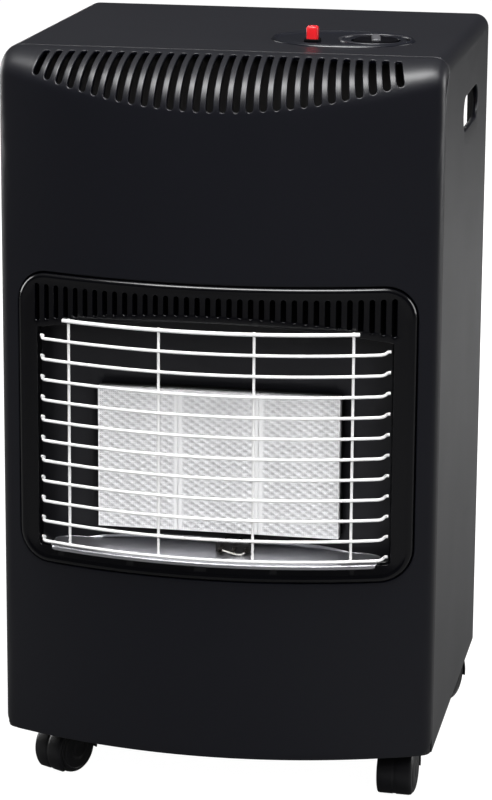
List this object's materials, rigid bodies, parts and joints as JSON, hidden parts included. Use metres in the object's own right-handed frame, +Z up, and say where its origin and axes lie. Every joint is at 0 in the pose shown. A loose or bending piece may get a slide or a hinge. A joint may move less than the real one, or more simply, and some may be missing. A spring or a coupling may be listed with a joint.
{
  "type": "portable gas cabinet heater",
  "caption": "Upright gas heater cabinet on swivel casters, with a bowed slotted front, ceramic burner behind a wire guard, top controls and a lift-off rear cover over the bottle bay.",
  "frame": {"origin": "on the floor, in the middle of the overall width and depth", "axes": "+Z up, +X to the right seen from the front, the bowed front faces -Y"},
  "size_m": [0.42, 0.4536, 0.7457],
  "materials": {
    "black_coat": "satin black powder coat",
    "black_enamel": "semi-gloss black stove enamel",
    "white_enamel": "white enamelled wire",
    "ceramic": "matt white perforated ceramic",
    "polished_steel": "polished reflector sheet",
    "bright_steel": "zinc-plated sheet and bar",
    "dark_steel": "heat-darkened pressed steel",
    "brass": "machined and cast brass",
    "copper": "drawn copper tube",
    "black_plastic": "textured black plastic",
    "grey_plastic": "dark grey nylon wheel",
    "red_plastic": "glossy red plastic",
    "lead_sleeve": "heat-proof lead sleeve"
  },
  "bodies": {
    "cabinet": {"cabinet_shell": "black_coat", "front_panel": "black_coat", "base_tray": "black_coat", "bottle_partition": "bright_steel", "burner_bezel": "black_enamel", "wire_guard": "white_enamel", "burner_surround": "black_enamel", "heat_shield": "dark_steel", "lower_reflector": "polished_steel", "plaque_left": "ceramic", "burner_box_left": "dark_steel", "injector_left": "brass", "gas_pipe_left": "copper", "plaque_centre": "ceramic", "burner_box_centre": "dark_steel", "injector_centre": "brass", "gas_pipe_centre": "copper", "plaque_right": "ceramic", "burner_box_right": "dark_steel", "injector_right": "brass", "gas_pipe_right": "copper", "pilot_burner": "bright_steel", "pilot_pipe": "copper", "pilot_bracket": "dark_steel", "thermocouple": "copper", "ignition_electrode": "ceramic", "igniter_lead": "lead_sleeve", "control_escutcheon": "black_plastic", "gas_valve_body": "brass", "valve_bracket": "bright_steel", "hose_nozzle": "brass", "piezo_igniter_body": "black_plastic"},
    "rear_cover": {"rear_cover": "black_coat"},
    "igniter_button": {"igniter_button": "red_plastic"},
    "knob_carrier": {"spindle_collar": "brass"},
    "knob": {"valve_spindle": "bright_steel", "control_knob": "black_plastic"},
    "caster_front_left": {"caster_housing_front_left": "black_plastic", "caster_axle_front_left": "bright_steel"},
    "wheel_a_front_left": {"caster_wheel_a_front_left": "grey_plastic"},
    "wheel_b_front_left": {"caster_wheel_b_front_left": "grey_plastic"},
    "caster_front_right": {"caster_housing_front_right": "black_plastic", "caster_axle_front_right": "bright_steel"},
    "wheel_a_front_right": {"caster_wheel_a_front_right": "grey_plastic"},
    "wheel_b_front_right": {"caster_wheel_b_front_right": "grey_plastic"},
    "caster_rear_left": {"caster_housing_rear_left": "black_plastic", "caster_axle_rear_left": "bright_steel"},
    "wheel_a_rear_left": {"caster_wheel_a_rear_left": "grey_plastic"},
    "wheel_b_rear_left": {"caster_wheel_b_rear_left": "grey_plastic"},
    "caster_rear_right": {"caster_housing_rear_right": "black_plastic", "caster_axle_rear_right": "bright_steel"},
    "wheel_a_rear_right": {"caster_wheel_a_rear_right": "grey_plastic"},
    "wheel_b_rear_right": {"caster_wheel_b_rear_right": "grey_plastic"}
  },
  "joints": [
    {"name": "rear_cover_lift", "type": "slide", "parent": "cabinet", "child": "rear_cover", "axis": [0, 0, 1], "range_m": [0, 0.03]},
    {"name": "igniter_press", "type": "slide", "parent": "cabinet", "child": "igniter_button", "axis": [0, 0, -1], "range_m": [0, 0.005], "stiffness_N_per_m": 600, "springref_m": -0.002},
    {"name": "knob_push", "type": "slide", "parent": "cabinet", "child": "knob_carrier", "axis": [0, 0, -1], "range_m": [0, 0.004], "stiffness_N_per_m": 1200, "springref_m": -0.002},
    {"name": "knob_turn", "type": "hinge", "parent": "knob_carrier", "child": "knob", "pos_m": [0.1275, -0.03755, 0.72], "axis": [0, 0, 1], "range_deg": [0, 225]},
    {"name": "swivel_front_left", "type": "hinge", "parent": "cabinet", "child": "caster_front_left", "pos_m": [-0.1715, -0.12655, 0.061], "axis": [0, 0, 1], "continuous": true},
    {"name": "wheel_a_spin_front_left", "type": "hinge", "parent": "caster_front_left", "child": "wheel_a_front_left", "pos_m": [-0.1625, -0.11096, 0.025], "axis": [0.866, -0.5, 0], "continuous": true},
    {"name": "wheel_b_spin_front_left", "type": "hinge", "parent": "caster_front_left", "child": "wheel_b_front_left", "pos_m": [-0.1625, -0.11096, 0.025], "axis": [0.866, -0.5, 0], "continuous": true},
    {"name": "swivel_front_right", "type": "hinge", "parent": "cabinet", "child": "caster_front_right", "pos_m": [0.1715, -0.12655, 0.061], "axis": [0, 0, 1], "continuous": true},
    {"name": "wheel_a_spin_front_right", "type": "hinge", "parent": "caster_front_right", "child": "wheel_a_front_right", "pos_m": [0.17244, -0.10857, 0.025], "axis": [0.9986, -0.0523, 0], "continuous": true},
    {"name": "wheel_b_spin_front_right", "type": "hinge", "parent": "caster_front_right", "child": "wheel_b_front_right", "pos_m": [0.17244, -0.10857, 0.025], "axis": [0.9986, -0.0523, 0], "continuous": true},
    {"name": "swivel_rear_left", "type": "hinge", "parent": "cabinet", "child": "caster_rear_left", "pos_m": [-0.1715, 0.15945, 0.061], "axis": [0, 0, 1], "continuous": true},
    {"name": "wheel_a_spin_rear_left", "type": "hinge", "parent": "caster_rear_left", "child": "wheel_a_rear_left", "pos_m": [-0.17766, 0.17636, 0.025], "axis": [0.9397, 0.342, 0], "continuous": true},
    {"name": "wheel_b_spin_rear_left", "type": "hinge", "parent": "caster_rear_left", "child": "wheel_b_rear_left", "pos_m": [-0.17766, 0.17636, 0.025], "axis": [0.9397, 0.342, 0], "continuous": true},
    {"name": "swivel_rear_right", "type": "hinge", "parent": "cabinet", "child": "caster_rear_right", "pos_m": [0.1715, 0.15945, 0.061], "axis": [0, 0, 1], "continuous": true},
    {"name": "wheel_a_spin_rear_right", "type": "hinge", "parent": "caster_rear_right", "child": "wheel_a_rear_right", "pos_m": [0.17766, 0.17636, 0.025], "axis": [0.9397, -0.342, 0], "continuous": true},
    {"name": "wheel_b_spin_rear_right", "type": "hinge", "parent": "caster_rear_right", "child": "wheel_b_rear_right", "pos_m": [0.17766, 0.17636, 0.025], "axis": [0.9397, -0.342, 0], "continuous": true}
  ]
}
